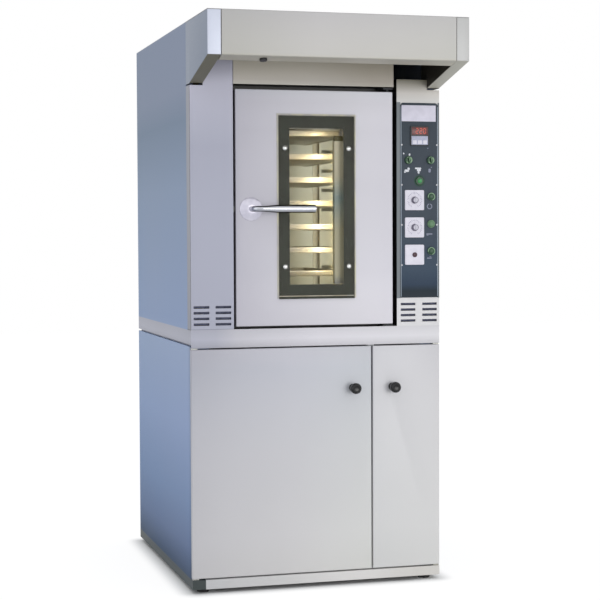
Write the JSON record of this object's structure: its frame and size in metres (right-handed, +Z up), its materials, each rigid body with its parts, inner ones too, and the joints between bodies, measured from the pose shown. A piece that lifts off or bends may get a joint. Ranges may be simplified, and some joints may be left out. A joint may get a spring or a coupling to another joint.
{
  "type": "rotating rack oven",
  "caption": "Upright rack oven with a windowed door and lever handle, a control column and a forward hood, standing on a closed two-door base cabinet.",
  "frame": {"origin": "on the floor, under the middle of the whole oven's box, hood and cable gland included", "axes": "+X to the user's right as they face the door, +Y from the door to the back, +Z up"},
  "size_m": [0.94, 1.395, 2.105],
  "materials": {
    "grey_paint": "satin light grey enamel",
    "side_paint": "satin blue-grey enamel",
    "galvanised": "galvanised sheet",
    "header_steel": "satin steel",
    "steel": "brushed stainless steel",
    "zinc": "zinc plated",
    "chrome": "polished",
    "wool": "mineral wool",
    "gasket_rubber": "matt silicone",
    "heater": "heat-tinted steel tube",
    "motor_paint": "hammered enamel",
    "tray_metal": "aluminised sheet",
    "rack_metal": "stainless steel",
    "black_plastic": "matt black",
    "knob_black": "glossy black",
    "rubber": "matt",
    "outer_glass": "tinted pane",
    "inner_glass": "clear pane",
    "lamp": "opal diffuser",
    "panel_slate": "satin slate",
    "instrument_black": "glossy black",
    "dial_white": "glossy white",
    "green": "translucent green",
    "knob_grey": "satin grey"
  },
  "bodies": {
    "oven": {"cabinet_left_side": "side_paint", "cabinet_right_side": "side_paint", "cabinet_back": "galvanised", "cabinet_floor": "galvanised", "cabinet_partition": "galvanised", "cabinet_plinth": "grey_paint", "levelling_feet": "rubber", "cabinet_hinges": "zinc", "magnetic_catches": "black_plastic", "oven_base_frame": "grey_paint", "oven_left_side": "side_paint", "oven_right_side": "side_paint", "oven_back": "galvanised", "oven_roof": "galvanised", "left_column": "grey_paint", "header_panel": "header_steel", "right_column": "grey_paint", "chamber_liner": "steel", "insulation": "wool", "door_gasket": "gasket_rubber", "air_baffle": "steel", "heating_elements": "heater", "fan_motor": "motor_paint", "vapour_pipe": "galvanised", "rack_gearmotor": "motor_paint", "floor_bearing": "zinc", "door_hinge_brackets": "zinc", "latch_keeper": "zinc", "hood_canopy": "grey_paint", "hood_left_arm": "grey_paint", "hood_right_arm": "grey_paint", "control_panel": "panel_slate", "temperature_controller": "instrument_black", "signal_lamps": "green", "dial_plates": "dial_white", "cable_gland": "black_plastic"},
    "oven_door": {"door_outer_skin": "grey_paint", "door_inner_skin": "steel", "door_insulation": "wool", "window_outer_glass": "outer_glass", "window_inner_glass": "inner_glass", "window_bolts": "chrome", "door_lamp": "lamp", "handle_rose": "chrome"},
    "door_handle": {"handle_lever": "chrome", "latch_cam": "zinc"},
    "rack": {"rack_shaft": "zinc", "rack_frame": "rack_metal", "tray_rails": "rack_metal", "trays": "tray_metal"},
    "fan": {"fan_wheel": "steel"},
    "wide_door": {"wide_cabinet_door": "grey_paint", "wide_door_knob": "knob_black"},
    "narrow_door": {"narrow_cabinet_door": "grey_paint", "narrow_door_knob": "knob_black"},
    "left_selector": {"left_selector": "green"},
    "right_selector": {"right_selector": "green"},
    "upper_timer": {"upper_timer_knob": "knob_grey"},
    "lower_timer": {"lower_timer_knob": "knob_grey"},
    "hood_switch": {"hood_switch": "black_plastic"}
  },
  "joints": [
    {"name": "oven_door_swing", "type": "hinge", "parent": "oven", "child": "oven_door", "pos_m": [0.271, -0.3855, 1.381], "axis": [0, 0, 1], "range_deg": [0, 125]},
    {"name": "handle_turn", "type": "hinge", "parent": "oven_door", "child": "door_handle", "pos_m": [-0.2475, -0.4115, 1.378], "axis": [0, 1, 0], "range_deg": [0, 60]},
    {"name": "rack_spin", "type": "hinge", "parent": "oven", "child": "rack", "pos_m": [-0.025, 0.0625, 1.4], "axis": [0, 0, 1], "continuous": true},
    {"name": "fan_spin", "type": "hinge", "parent": "oven", "child": "fan", "pos_m": [-0.025, 0.4925, 1.39], "axis": [0, 1, 0], "continuous": true},
    {"name": "wide_door_swing", "type": "hinge", "parent": "oven", "child": "wide_door", "pos_m": [-0.462, -0.3845, 0.465], "axis": [0, 0, -1], "range_deg": [0, 105]},
    {"name": "narrow_door_swing", "type": "hinge", "parent": "oven", "child": "narrow_door", "pos_m": [0.462, -0.3845, 0.465], "axis": [0, 0, 1], "range_deg": [0, 105]},
    {"name": "left_selector_turn", "type": "hinge", "parent": "oven", "child": "left_selector", "pos_m": [0.348, -0.4005, 1.558], "axis": [0, -1, 0], "range_deg": [-45, 45]},
    {"name": "right_selector_turn", "type": "hinge", "parent": "oven", "child": "right_selector", "pos_m": [0.434, -0.4005, 1.558], "axis": [0, -1, 0], "range_deg": [-45, 45]},
    {"name": "upper_timer_turn", "type": "hinge", "parent": "oven", "child": "upper_timer", "pos_m": [0.371, -0.4055, 1.411], "axis": [0, 1, 0], "range_deg": [0, 300]},
    {"name": "lower_timer_turn", "type": "hinge", "parent": "oven", "child": "lower_timer", "pos_m": [0.371, -0.4055, 1.3105], "axis": [0, 1, 0], "range_deg": [0, 300]},
    {"name": "hood_switch_press", "type": "slide", "parent": "oven", "child": "hood_switch", "axis": [0, 0.2241, 0.9746], "range_m": [0, 0.003], "stiffness_N_per_m": 400}
  ]
}
